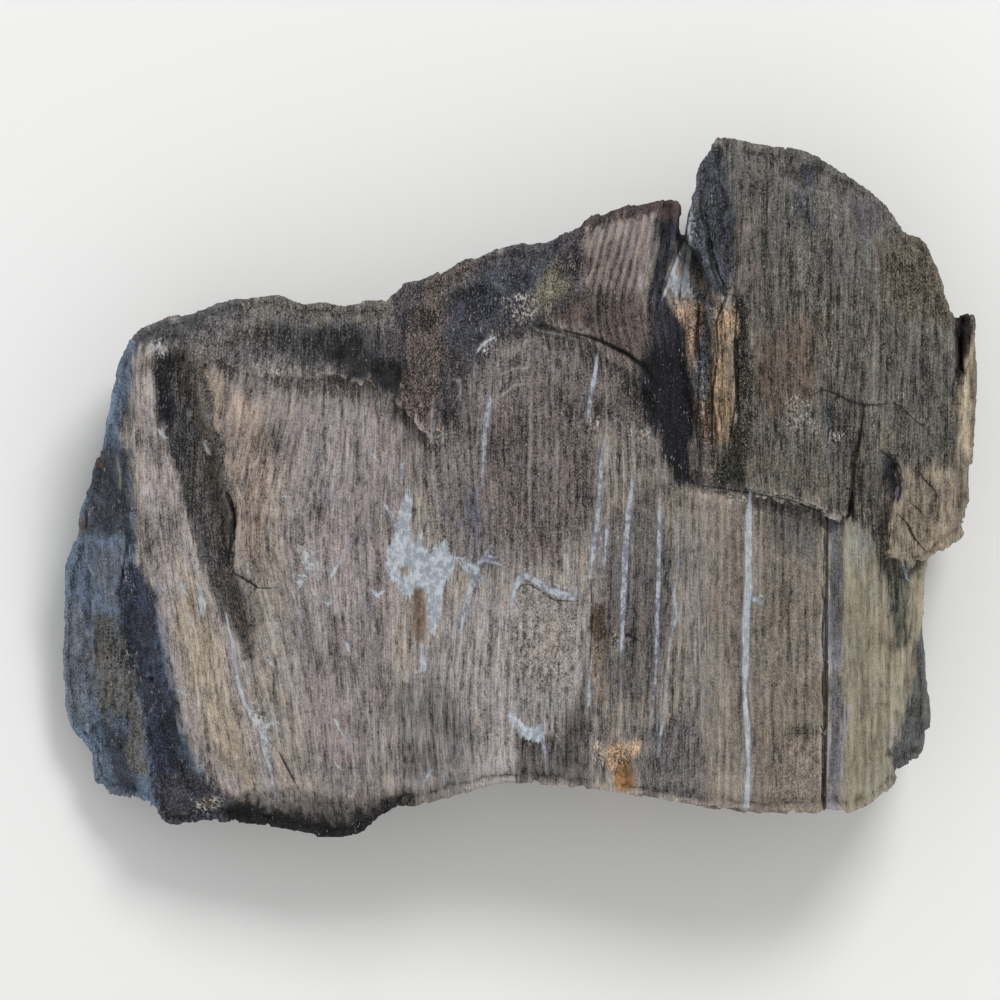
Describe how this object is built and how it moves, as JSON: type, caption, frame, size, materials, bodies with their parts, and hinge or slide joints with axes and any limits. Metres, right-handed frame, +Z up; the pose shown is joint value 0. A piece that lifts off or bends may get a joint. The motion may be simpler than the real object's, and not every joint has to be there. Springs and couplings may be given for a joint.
{
  "type": "petrified wood",
  "caption": "Slab-like chunk of petrified wood lying on its back, with a split grained front, raised broken layers, a rusty fissure and pale veins",
  "frame": {"origin": "middle of the resting face on the back of the stone, under the middle of its outline", "axes": "+X across the grain, the longest way; +Y along the grain, up in the picture; +Z up from the resting face to the split front"},
  "size_m": [0.275, 0.21, 0.066],
  "materials": {
    "silicified_wood": "dull granular brown-grey with fine grain streaks, glassy blue-black breaks, white and blue-grey chalcedony veins and rusty stains"
  },
  "bodies": {
    "root": {"petrified_wood": "silicified_wood"}
  },
  "joints": []
}
